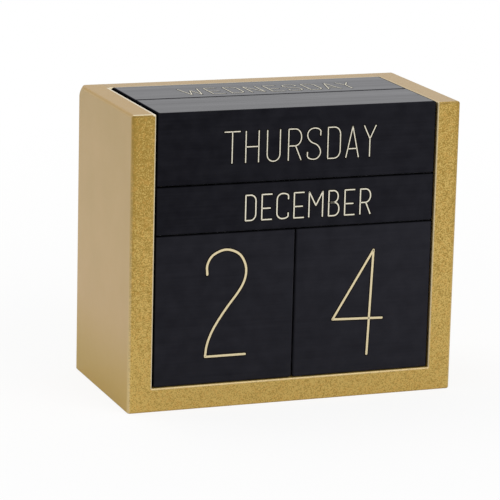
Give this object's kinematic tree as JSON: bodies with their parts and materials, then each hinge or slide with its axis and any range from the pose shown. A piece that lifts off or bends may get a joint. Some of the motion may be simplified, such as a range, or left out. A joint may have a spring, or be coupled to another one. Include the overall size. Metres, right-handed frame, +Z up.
{
  "type": "perpetual desk calendar",
  "caption": "Open-fronted wooden desk case whose loose number blocks, month bars and weekday bars slide forward or lift out, to be turned and swapped until they show the date.",
  "frame": {"origin": "centre of the case's underside, on the surface it stands on", "axes": "+X to the reader's right along the width, +Y from the open front to the back board, +Z up"},
  "size_m": [0.1172, 0.0588, 0.1014],
  "materials": {
    "case_paint": "fine-grained gold paint over smooth board",
    "block_stain": "matte black stain, faint grain",
    "brad_steel": "bright drawn wire",
    "lettering": "pale gold fill in thin lines"
  },
  "bodies": {
    "case": {"floor_board": "case_paint", "left_side_board": "case_paint", "right_side_board": "case_paint", "back_board": "case_paint", "case_brads": "brad_steel"},
    "left_number": {"left_number_block": "block_stain"},
    "right_number": {"right_number_block": "block_stain"},
    "month_front": {"month_bar_front": "block_stain"},
    "month_middle": {"month_bar_middle": "block_stain"},
    "month_rear": {"month_bar_rear": "block_stain"},
    "day_front": {"day_bar_front": "block_stain"},
    "day_rear": {"day_bar_rear": "block_stain"}
  },
  "joints": [
    {"name": "left_number_slide", "type": "slide", "parent": "case", "child": "left_number", "axis": [0, -1, 0], "range_m": [0, 0.06]},
    {"name": "right_number_slide", "type": "slide", "parent": "case", "child": "right_number", "axis": [0, -1, 0], "range_m": [0, 0.06]},
    {"name": "month_rear_slide", "type": "slide", "parent": "case", "child": "month_rear", "axis": [0, -1, 0], "range_m": [0, 0.06]},
    {"name": "month_middle_slide", "type": "slide", "parent": "month_rear", "child": "month_middle", "axis": [0, -1, 0], "range_m": [0, 0.043]},
    {"name": "month_front_slide", "type": "slide", "parent": "month_middle", "child": "month_front", "axis": [0, -1, 0], "range_m": [0, 0.027]},
    {"name": "day_front_lift", "type": "slide", "parent": "case", "child": "day_front", "axis": [0, 0, 1], "range_m": [0, 0.035]},
    {"name": "day_rear_lift", "type": "slide", "parent": "case", "child": "day_rear", "axis": [0, 0, 1], "range_m": [0, 0.035]}
  ]
}
